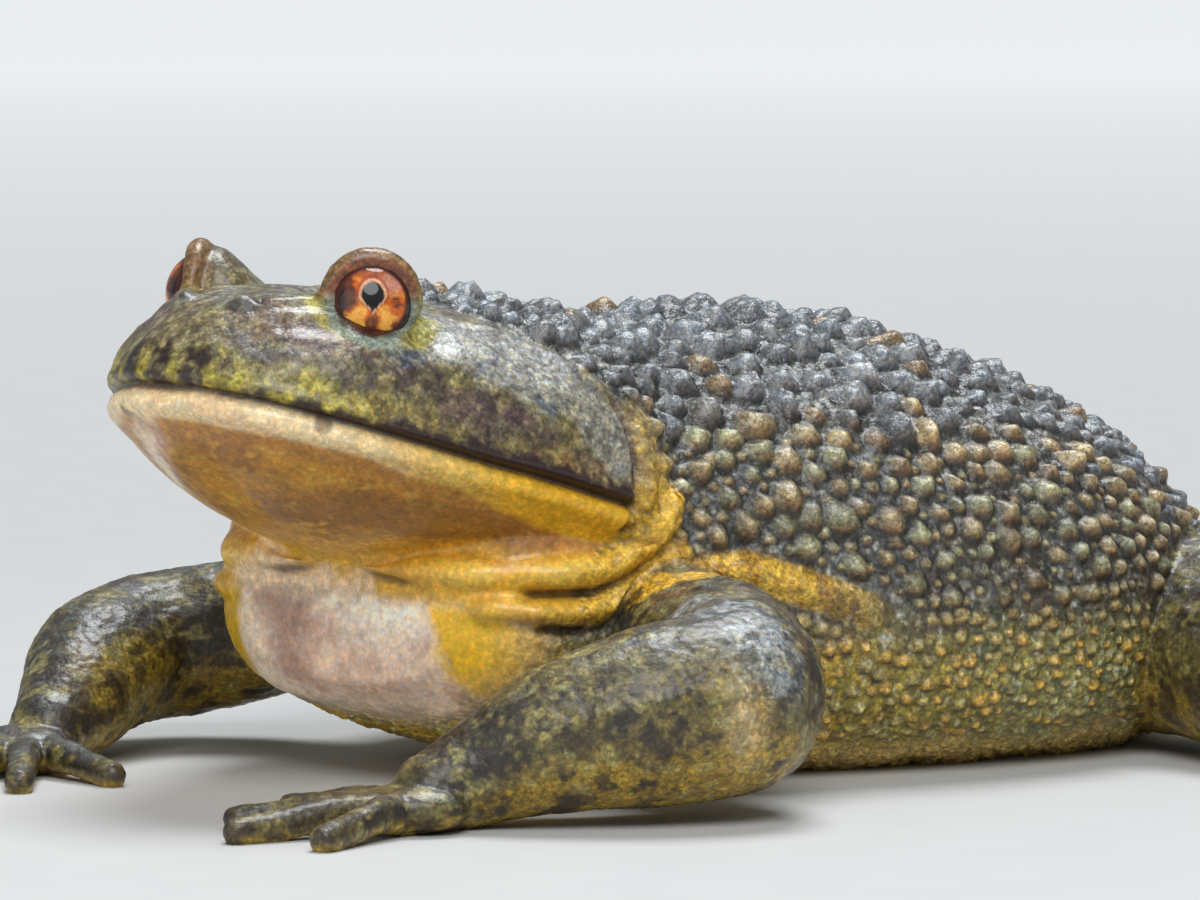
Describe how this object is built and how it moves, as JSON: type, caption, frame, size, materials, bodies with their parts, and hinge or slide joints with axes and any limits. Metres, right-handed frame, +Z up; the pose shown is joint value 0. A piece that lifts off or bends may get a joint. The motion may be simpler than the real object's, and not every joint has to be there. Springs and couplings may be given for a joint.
{
  "type": "chilean giant frog",
  "caption": "Life-size still model of a Chilean giant frog, sitting low with its chest raised and its head turned a little to its left.",
  "frame": {"origin": "centre of the underside of the model's own box, on the floor", "axes": "+Z up from the floor, -Y towards the nose, +X towards the frog's left"},
  "size_m": [0.2546, 0.3188, 0.0921],
  "materials": {
    "back_skin": "wet warty skin, slate grey to olive",
    "head_skin": "wet fine-grained skin, olive brown",
    "throat_skin": "wet smooth skin, cream to ochre yellow",
    "limb_skin": "wet skin, olive with dark spots",
    "eye": "clear glossy eye, orange iris"
  },
  "bodies": {
    "root": {"head": "head_skin", "lower_jaw": "throat_skin", "torso": "back_skin", "eye_left": "eye", "eye_right": "eye", "upper_arm_left": "limb_skin", "upper_arm_right": "limb_skin", "forearm_left": "limb_skin", "forearm_right": "limb_skin", "hand_left": "limb_skin", "hand_right": "limb_skin", "thigh_left": "limb_skin", "thigh_right": "limb_skin", "shank_left": "limb_skin", "shank_right": "limb_skin", "foot_left": "limb_skin", "foot_right": "limb_skin"}
  },
  "joints": []
}
